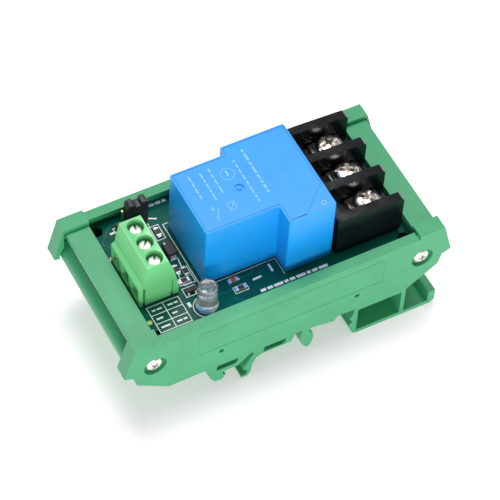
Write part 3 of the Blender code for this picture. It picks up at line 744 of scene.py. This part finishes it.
def build_board_tracks():
    """Copper tracks under the mask, between the parts they join."""
    track_width = 0.45
    bm = bmesh.new()
    header = middle("header_base")
    diode = middle("flyback_diode")
    driver = middle("driver_transistor")
    lamp = middle("status_led_lens")
    routes = [
        [(-26.2, 4.9), (-22.6, 6.6), (-22.6, 10.2), (-21.2, 11.8)],
        [(-26.2, -0.2), (-23.0, -0.2), (-21.9, -1.6)],
        [(-26.2, -5.3), (-24.6, -7.4), (-22.6, -8.9)],
        [(header.x + 2.54, header.y), (-20.3, 13.0)],
        [(diode.x, diode.y + 2.4), (-19.6, 9.6)],
        [(driver.x + 1.0, driver.y - 0.9), (lamp.x - 1.3, lamp.y)],
        [(lamp.x + 1.3, lamp.y), (-15.2, -12.6), (-11.2, -12.6)],
        [(-9.0, -10.3), (-5.5, -10.3), (-4.2, -9.3)],
        [(-12.4, -14.9), (-9.0, -17.6), (8.0, -17.6), (10.0, -16.0)],
        [(-34.6, 13.6), (-32.0, 11.0), (-32.0, 5.0)],
        [(-14.0, -18.3), (-29.0, -18.3)],
        [(-20.0, 17.6), (-30.0, 17.6), (-34.9, 12.4)],
    ]
    for route in routes:
        path(bm, route, track_width, TRACK_LEVEL)
    low, high = TRACK_LEVEL
    for x, y in ((-15.2, -12.6), (-5.5, -10.3), (-32.0, 5.0), (8.0, -17.6), (-22.6, 10.2)):
        disc = turned([(0, high - low), (0.42, high - low), (0.42, 0), (0, 0)], 20)
        bm.from_mesh(moved(disc, x, y, low).data)
        bpy.data.objects.remove(disc, do_unlink=True)
    piece(from_bmesh(bm), "board_tracks", MASKED_COPPER, body="carrier")
    pad = turned([(0, 0.03), (0.62, 0.03), (0.65, 0.0), (0, 0.0)], 28)
    pad = moved(pad, -33.9, -12.6, BOARD_TOP)
    piece(pad, "board_test_pad", GOLD, body="carrier")


# ---------------------------------------------------------------- small parts

def fitting(obj, name, material):
    """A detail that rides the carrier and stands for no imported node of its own."""
    return piece(obj, name, material, body="carrier")


def solder_fillet(x_span, y_span, height):
    """Low wedge of solder: a box whose top is drawn in, rounded later."""
    bm = bmesh.new()
    add_box(bm, (x_span[0], y_span[0], BOARD_TOP + 0.005),
            (x_span[1], y_span[1], BOARD_TOP + height))
    centre = Vector((sum(x_span) / 2, sum(y_span) / 2, 0)) * MM
    for vert in bm.verts:
        if vert.co.z > (BOARD_TOP + height / 2) * MM:
            vert.co.x = centre.x + (vert.co.x - centre.x) * 0.62
            vert.co.y = centre.y + (vert.co.y - centre.y) * 0.72
    return from_bmesh(bm)


def build_chip_resistor(index, solder):
    """Ceramic block with wrapped tin ends and a dark glaze between them."""
    node = f"resistor_{index}"
    low, high = low_high(node)
    size = high - low
    length, width = max(size.x, size.y) / 2, min(size.x, size.y) / 2
    spot = middle(node)
    base = low.z

    def block(start, end, half, bottom, top):
        """Two corners of a box, from start to end along the resistor's length."""
        if size.x > size.y:
            return (spot.x + start, spot.y - half, bottom), (spot.x + end, spot.y + half, top)
        return (spot.x - half, spot.y + start, bottom), (spot.x + half, spot.y + end, top)

    body = box(*block(-length + 0.1, length - 0.1, width - 0.03, base, base + 0.5))
    piece(round_edges(body, 0.05, 2), f"resistor_body_{index}", CERAMIC, replaces=[node])
    glaze = box(*block(-length + 0.42, length - 0.42, width - 0.05, base + 0.49, base + 0.58))
    fitting(round_edges(glaze, 0.03, 2), f"resistor_glaze_{index}", CHIP_EPOXY)
    ends = boxes([block(*span(0, side, length - 0.4, length), width, base - 0.02, base + 0.57)
                  for side in (-1, 1)])
    fitting(round_edges(ends, 0.06, 2), f"resistor_ends_{index}", TIN)
    for side in (-1, 1):
        low, high = block(*span(0, side, length - 0.15, length + 0.55), width + 0.1, 0, 0)
        solder.append(solder_fillet((low[0], high[0]), (low[1], high[1]), 0.42))


def build_diode(solder):
    """Rectifier: chamfered block, cathode mark and bent tinned leads."""
    low, high = low_high("flyback_diode")
    spot = middle("flyback_diode")
    base = low.z
    body = box((spot.x - 1.3, spot.y - 2.15, base + 0.1), (spot.x + 1.3, spot.y + 2.15, high.z))
    piece(round_edges(body, 0.22, 3), "diode_body", CHIP_EPOXY, replaces=["flyback_diode"])
    mark = turned([(0, 0.02), (0.26, 0.02), (0.26, -0.01), (0, -0.01)], 20)
    piece(moved(mark, spot.x - 0.7, spot.y + 1.4, high.z), "diode_mark", BOARD_INK, body="carrier")
    half = 0.75
    leads = []
    for side in (-1, 1):
        riser = span(spot.y, side, 2.1, 2.35)
        foot = span(spot.y, side, 1.5, 2.75)
        leads.append(((spot.x - half, riser[0], base), (spot.x + half, riser[1], base + 1.15)))
        leads.append(((spot.x - half, foot[0], base - 0.02), (spot.x + half, foot[1], base + 0.18)))
        solder.append(solder_fillet((spot.x - 1.0, spot.x + 1.0), (foot[0], foot[1] + 0.05), 0.3))
    fitting(round_edges(boxes(leads), 0.06, 2), "diode_leads", TIN)


def build_transistor(solder):
    """Three-lead surface-mounted transistor with gull-wing legs."""
    low, high = low_high("driver_transistor")
    spot = middle("driver_transistor")
    base = low.z
    section = [(spot.y - 0.68, base + 0.12), (spot.y + 0.68, base + 0.12), (spot.y + 0.72, base + 0.5),
               (spot.y + 0.6, high.z), (spot.y - 0.6, high.z), (spot.y - 0.72, base + 0.5)]
    body = prism(section, spot.x - 1.45, spot.x + 1.45, "X")
    piece(round_edges(body, 0.07, 2, 30), "transistor_body", CHIP_EPOXY,
          replaces=["driver_transistor"])
    shoulder, foot, riser = (0.6, 1.0, 0.4, 0.54), (0.9, 1.4, -0.02, 0.12), (0.9, 1.03, 0, 0.54)
    legs = []
    for x, side in ((-0.95, -1), (0.95, -1), (0.0, 1)):
        x += spot.x
        for near, far, bottom, top in (shoulder, foot, riser):
            y0, y1 = span(spot.y, side, near, far)
            legs.append(((x - 0.2, y0, base + bottom), (x + 0.2, y1, base + top)))
        y0, y1 = span(spot.y, side, *foot[:2])
        solder.append(solder_fillet((x - 0.38, x + 0.38), (y0 - 0.1, y1 + 0.15), 0.2))
    fitting(round_edges(boxes(legs), 0.03, 2), "transistor_legs", TIN)


def build_power_lamp(solder):
    """Chip lamp: ceramic base, tinned ends and a tinted domed window."""
    low, high = low_high("power_led_chip")
    spot = middle("power_led_chip")
    base = low.z
    body = box((spot.x - 0.95, spot.y - 0.6, base), (spot.x + 0.95, spot.y + 0.6, base + 0.35))
    piece(round_edges(body, 0.04, 2), "power_lamp_base", CERAMIC, replaces=["power_led_chip"])
    window = box((spot.x - 0.6, spot.y - 0.58, base + 0.33), (spot.x + 0.6, spot.y + 0.58, high.z))
    fitting(round_edges(window, 0.2, 4), "power_lamp_window", RED_LENS)
    ends = boxes([((spot.x + side * 0.8 - 0.22, spot.y - 0.62, base - 0.02),
                   (spot.x + side * 0.8 + 0.22, spot.y + 0.62, base + 0.4)) for side in (-1, 1)])
    fitting(round_edges(ends, 0.05, 2), "power_lamp_ends", TIN)
    for side in (-1, 1):
        solder.append(solder_fillet(span(spot.x, side, 0.85, 1.6), (spot.y - 0.7, spot.y + 0.7),
                                    0.36))


def build_small_parts():
    """Surface-mounted parts; all of their solder joints are one piece."""
    solder = []
    for index in range(1, 6):
        build_chip_resistor(index, solder)
    build_diode(solder)
    build_transistor(solder)
    build_power_lamp(solder)
    fitting(round_edges(merge(*solder), 0.09, 2, 20), "solder_joints", SOLDER)


# ---------------------------------------------------------------- status lamp

def build_status_lamp():
    """Round flat-topped lamp: lens with its rim and flange, and the lead frame inside it."""
    low, high = low_high("status_led_lens")
    spot = middle("status_led_lens")
    radius, flange = 2.4, 2.8
    top = high.z - low.z
    profile = [(0, top - 0.12), (1.7, top - 0.11), (1.95, top - 0.04), (2.15, top),
               (2.32, top - 0.06), (radius, top - 0.22), (radius, 1.05), (2.5, 1.0), (2.74, 0.94),
               (flange, 0.82), (flange, 0.12), (2.72, 0.0), (0, 0.0)]
    lens = moved(turned(profile, 56), spot.x, spot.y, low.z)
    piece(lens, "status_lamp_lens", CLEAR_EPOXY, like="status_led_lens", sharp=60)
    half = 0.25                 # half the thickness of the lead frame
    anvil = prism(rounded([(-1.75, 1.2), (-0.15, 1.2), (-0.15, 2.3), (-0.7, 3.0), (-0.55, 3.9),
                           (-1.75, 3.9)], 0.12), -half, half, "Y")
    post = prism(rounded([(0.35, 1.2), (1.55, 1.2), (1.55, 3.4), (0.85, 4.0), (0.35, 3.2)], 0.1),
                 -half, half, "Y")
    cup = turned([(0, 3.9), (0.28, 3.9), (0.5, 4.35), (0.62, 4.35), (0.62, 3.7), (0, 3.7)], 28)
    lead_frame = merge(anvil, post, moved(cup, x=-0.9))
    fitting(moved(lead_frame, spot.x, spot.y, low.z), "status_lamp_frame", TIN)
    for index in (1, 2):
        node = f"status_led_lead_{index}"
        lead = round_edges(box(*low_high(node)), 0.06, 2)
        piece(lead, f"status_lamp_lead_{index}", TIN, like=node)


# ---------------------------------------------------------------- header and jumper

def build_header():
    """Pin strip, and the jumper cap and its clip, which ride the jumper's body."""
    base = round_edges(from_node("header_base"), 0.16, 2)
    piece(base, "header_base_moulding", BLACK_MOULDING, like="header_base")
    for index in (1, 2, 3):
        node = f"header_pin_{index}"
        pin = round_edges(box(*low_high(node)), 0.1, 2)
        piece(pin, f"header_pin_post_{index}", GOLD, like=node)
    cap_lowering = 0.7
    above_clip = BOARD_TOP + 9.8
    cap = from_node("jumper_cap")
    for vert in cap.data.vertices:
        if vert.co.z > above_clip * MM:
            vert.co.z -= cap_lowering * MM
    cap = round_edges(cap, 0.22, 3, 30)
    piece(cap, "jumper_cap_moulding", BLACK_MOULDING, like="jumper_cap")
    clip = round_edges(from_node("jumper_clip"), 0.06, 2)
    piece(clip, "jumper_clip_spring", BRASS, like="jumper_clip")


# ---------------------------------------------------------------- relay

NARROW_LOW, NARROW_HIGH = -8.4, 11.3            # y of the stem of the relay's T
SHOULDER_NEAR, SHOULDER_FAR = 2.3, -2.5         # x where the T's bar begins on either side
CASE_WALL = 1.0
RELAY_INK_LEVEL = (RELAY_HIGH.z + 0.005, RELAY_HIGH.z + PRINT_THICKNESS)


def relay_plan(inset=0.0):
    """T-shaped plan of the relay, pulled in by an inset."""
    left, right = RELAY_LOW.x + inset, RELAY_HIGH.x - inset
    low, high = NARROW_LOW + inset, NARROW_HIGH - inset
    wide_low, wide_high = RELAY_LOW.y + inset, RELAY_HIGH.y - inset
    near, far = SHOULDER_NEAR + inset, SHOULDER_FAR + inset
    return [(left, low), (near, low), (near, wide_low), (right, wide_low), (right, wide_high),
            (far, wide_high), (far, high), (left, high)]


def relay_seam(inset):
    """Fine moulded line on the top: the plan with its near right corner cut off."""
    plan = relay_plan(inset)
    plan[3:4] = [(6.9 + inset * 0.4, RELAY_LOW.y + inset),
                 (RELAY_HIGH.x - inset, -6.4 - inset * 0.4)]
    return plan


def build_relay():
    """Hollow case with a fine line and a dimple on its top, its vent's rim and its base plate."""
    top = RELAY_HIGH.z
    case = prism(rounded(relay_plan(), 0.55, 4), RELAY_LOW.z, top)
    case = cut(case, prism(relay_plan(CASE_WALL), RELAY_LOW.z - 1, top - CASE_WALL))
    line = prism(relay_seam(0.45), top - 0.12, top + 0.5, holes=[relay_seam(0.65)])
    dimple = moved(turned([(0, 1), (1.2, 1), (1.2, -0.35), (0.5, -0.35), (0.5, -0.08), (0, -0.08)],
                          36), -3.7, 0.7, top)
    case = cut(case, line, dimple)
    piece(round_edges(case, 0.32, 3, 55), "relay_cover", RELAY_PLASTIC, like="relay_case")
    nib = turned([(0.38, 0.14), (0.46, 0.2), (0.6, 0.2), (0.7, 0.12), (0.74, -0.05), (0.36, -0.05)],
                 36, closed=True)
    fitting(moved(nib, 12.5, -12.0, top), "relay_vent_rim", RELAY_INK)
    base = round_edges(from_node("relay_base"), 0.1, 2)
    piece(base, "relay_base_plate", BLACK_MOULDING, like="relay_base")


def build_relay_print():
    """Pale print on the relay: plain bars, a blank ring and a generic contact diagram."""
    ink = RELAY_INK_LEVEL
    bm = bmesh.new()
    large, small = 0.575, 0.425                 # heights of the bars
    rows = ((2.1, 10.9, -5.2, large, 31), (-1.2, 8.9, -5.3, small, 32),
            (-7.9, 9.1, -0.2, small, 33), (-10.3, 8.7, -1.2, small, 34),
            (-13.3, 9.0, -0.4, small, 35))
    for x, start, end, tall, seed in rows:
        dashes(bm, (x, start), (x, end), tall, seed, ink, 0.45)
    loop(bm, circle((-4.4, 5.6), 1.75, 36), 0.16, ink)
    dashes(bm, (-4.4, 6.7), (-4.4, 4.5), 0.5, 36, ink)
    x, y = -12.4, -3.7                          # middle of the open contact
    for side in (-1, 1):
        dot = y + side * 1.3
        loop(bm, circle((x, dot), 0.3, 16), 0.14, ink)
        strip(bm, (x, dot), (x, dot + side * 1.1), 0.18, ink)
    strip(bm, (x, y - 1.3), (x + 1.3, y + 0.9), 0.18, ink)
    coil = rectangle(-8.6, -6.8, -4.6, -2.2)
    loop(bm, coil, 0.16, ink)
    strip(bm, coil[0], coil[2], 0.14, ink)
    piece(from_bmesh(bm), "relay_print", RELAY_INK, body="carrier")


def finish_inner_relay():
    """The relay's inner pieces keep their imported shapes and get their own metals."""
    inner = {"relay_bobbin": NYLON, "relay_coil": winding(), "relay_core": IRON,
             "relay_yoke": IRON, "relay_armature": IRON, "relay_return_leaf": BRASS,
             "relay_contact_blade": COPPER, "relay_contact_no": COPPER, "relay_contact_nc": COPPER,
             "relay_common_strip": COPPER, "relay_coil_pin_1": TIN, "relay_coil_pin_2": TIN}
    for node, material in inner.items():
        NODES[node].data.materials.clear()
        NODES[node].data.materials.append(material)


# ---------------------------------------------------------------- barrier block

def build_barrier():
    """Moulding with softened edges and rounded outer top corners on its walls."""
    low, high = BARRIER_LOW, BARRIER_HIGH
    radius = 1.1
    corner = [(high.x - radius, high.z), *arc((high.x - radius, high.z - radius), radius, 90, 0, 8),
              (high.x + 1, high.z - radius), (high.x + 1, high.z + 1), (high.x - radius, high.z + 1)]
    corner = prism(corner, low.y - 1, high.y + 1, "Y")
    body = round_edges(cut(from_node("barrier_body", weld=0.02), corner), 0.35, 3, 28)
    piece(body, "barrier_moulding", BARRIER_PLASTIC, like="barrier_body")
    for index in (1, 2, 3):
        build_barrier_pole(index)


def build_barrier_pole(index):
    """Terminal plate, clamp washer with a turned-up end, and domed combination screw; plate and washer
    take a nickel whose darker tint is painted shade.
    """
    plate = round_edges(from_node(f"barrier_plate_{index}"), 0.12, 2)
    piece(plate, f"barrier_strip_{index}", PAINTED_SHADE_NICKEL, like=f"barrier_plate_{index}")
    node = f"barrier_clamp_{index}"
    spot = middle(node)
    seat = low_high(node)[0].z
    half, thick = 4.4, 0.8
    clamp = prism(rounded(rectangle(-half, half, -3.2, 3.2), 0.5), 0, thick,
                  holes=[circle((0, 0), 1.95)])
    ear = box((-half, -2.3, 0.3), (-half + 0.45, 2.3, 1.7))
    clamp = moved(join(clamp, ear), spot.x, spot.y, seat)
    piece(round_edges(clamp, 0.18, 3), f"barrier_washer_{index}", PAINTED_SHADE_NICKEL, like=node)
    top = 3.5
    head = [(0, top), (1.4, 3.44), (2.3, 3.26), (2.8, 2.98), (3.12, 2.55), (3.3, 1.95), (3.35, 1.5),
            (3.33, 1.15), (3.2, 1.0), (1.7, 1.0), (1.7, -4.0), (1.2, -4.5), (0, -4.5)]
    slot = box((-3.6, -0.35, top - 0.75), (3.6, 0.35, top + 0.7))
    screw = cut(turned(head, 56), *phillips(2.35, top, 2.3, 1.15), slot)
    stop = math.radians((38, -28, 12)[index - 1])
    screw = moved(screw, spot.x, spot.y, seat, Matrix.Rotation(stop, 4, "Z"))
    piece(round_edges(screw, 0.09, 2, 45), f"barrier_pan_screw_{index}", NICKEL,
          like=f"barrier_screw_{index}")


# ---------------------------------------------------------------- signal terminal

def build_terminal():
    """Housing with funnel-shaped wire entries, grooves at both ends and a seam above the ledge."""
    tools = []
    for index in (1, 2, 3):
        y = middle(f"terminal_screw_{index}").y
        funnel = rounded(rectangle(y - 1.95, y + 1.95, BOARD_TOP + 1.7, BOARD_TOP + 6.6), 0.5, 3)
        tools.append(prism(funnel, TERMINAL_LOW.x - 1, TERMINAL_LOW.x + 4.0, "X"))
    near, far = TERMINAL_LOW.y, TERMINAL_HIGH.y
    half, depth = 0.28, 0.7
    for x, top in ((-33.05, 6.9), (-25.55, 6.4)):
        for y0, y1 in ((near - 1, near + depth), (far - depth, far + 1)):
            tools.append(box((x - half, y0, BOARD_TOP - 1), (x + half, y1, BOARD_TOP + top)))
    seam = [(-33.75, 8.62), (-33.2, 8.75), (-33.2, 8.95), (-33.75, 8.95)]
    tools.append(prism([(x, BOARD_TOP + z) for x, z in seam], near - 1, far + 1, "Y"))
    body = cut(from_node("terminal_housing"), *tools)
    piece(round_edges(body, 0.16, 2, 28), "terminal_moulding", TERMINAL_GREEN,
          like="terminal_housing")
    for index in (1, 2, 3):
        build_terminal_pole(index)


def build_terminal_pole(index):
    """Slotted clamp screw, rising cage and contact pin of one pole."""
    node = f"terminal_screw_{index}"
    spot = middle(node)
    head = [(0, 13.4), (1.2, 13.38), (1.55, 13.28), (1.78, 13.08), (1.85, 12.8), (1.85, 11.85),
            (1.8, 11.8), (1.2, 11.8), (1.2, 5.75), (0, 5.75)]
    slot = box((-2.2, -0.3, 12.3), (2.2, 0.3, 14.2))
    stop = math.radians((64, 52, 74)[index - 1])
    screw = moved(cut(turned(head), slot), spot.x, spot.y, BOARD_TOP, Matrix.Rotation(stop, 4, "Z"))
    piece(round_edges(screw, 0.06, 2, 45), f"terminal_clamp_screw_{index}", TERMINAL_NICKEL,
          like=node)
    cage = round_edges(from_node(f"terminal_cage_{index}"), 0.12, 2)
    piece(cage, f"terminal_wire_cage_{index}", BRASS, like=f"terminal_cage_{index}")
    pin = round_edges(from_node(f"terminal_pin_{index}"), 0.06, 2)
    piece(pin, f"terminal_board_pin_{index}", TIN, like=f"terminal_pin_{index}")


# ---------------------------------------------------------------- stage, light and camera

FLOOR_HALF = 3.0            # metres
WORLD_STRENGTH = 0.36
SUBJECT = (0, 0, 0.02)      # metres: the point that both lights face


def build_stage():
    """Pale floor, even surrounding light and a plain colour transform."""
    bm = bmesh.new()
    bmesh.ops.create_grid(bm, x_segments=1, y_segments=1, size=FLOOR_HALF)
    floor = from_bmesh(bm)
    floor.name = "floor"
    shader = Shader("pale_floor", 0.85, Specular_IOR_Level=0.1, Emission_Strength=0.3,
                    Emission_Color=(1.0, 0.94, 0.96, 1.0))
    shader.tones((0.97, 0.93, 0.95), 0.004, 4)
    floor.data.materials.append(shader.material)
    world = bpy.data.worlds.new("studio")
    bpy.context.scene.world = world
    world.use_nodes = True
    background = world.node_tree.nodes["Background"]
    background.inputs["Color"].default_value = (1.0, 1.0, 1.0, 1.0)
    background.inputs["Strength"].default_value = WORLD_STRENGTH
    bpy.context.scene.view_settings.view_transform = "Standard"


def soft_light(name, place, size, power):
    """White softbox facing the subject; place and size in metres, power in watts."""
    light = bpy.data.lights.new(name, "AREA")
    light.shape = "RECTANGLE"
    light.size, light.size_y = size
    light.energy = power
    obj = bpy.data.objects.new(name, light)
    bpy.context.scene.collection.objects.link(obj)
    obj.location = place
    obj.rotation_mode = "QUATERNION"
    obj.rotation_quaternion = (Vector(SUBJECT) - Vector(place)).to_track_quat("-Z", "Y")


def build_lights():
    """Large overhead key, and a low fill from the near side."""
    soft_light("key", (0.10, 0.22, 0.90), (0.55, 0.55), 6.6)
    soft_light("fill", (-0.35, -0.95, 0.24), (0.8, 0.3), 6.5)


def build_camera():
    """Long lens that looks down from the near left; its place is in metres.

    The right and forward directions fix its attitude, and are squared up with each other.
    """
    place = (-0.20209, -0.33674, 0.55205)
    right = Vector((0.88529, -0.46301, 0.04339)).normalized()
    forward = Vector((0.30577, 0.50925, -0.80447)).normalized()
    up = right.cross(forward).normalized()
    right = forward.cross(up).normalized()
    camera = bpy.data.cameras.new("camera")
    camera.lens = 192.4
    camera.sensor_width = 36.0
    camera.clip_start = 0.05
    camera.clip_end = 20.0
    obj = bpy.data.objects.new("camera", camera)
    bpy.context.scene.collection.objects.link(obj)
    turn = Matrix((right, up, -forward)).transposed().to_4x4()
    obj.matrix_world = Matrix.Translation(place) @ turn
    bpy.context.scene.camera = obj


build_plates()
build_tray()
build_plate_screws()
build_board()
build_board_print()
build_board_tracks()
build_small_parts()
build_status_lamp()
build_header()
build_relay()
build_relay_print()
finish_inner_relay()
build_barrier()
build_terminal()
build_stage()
build_lights()
build_camera()
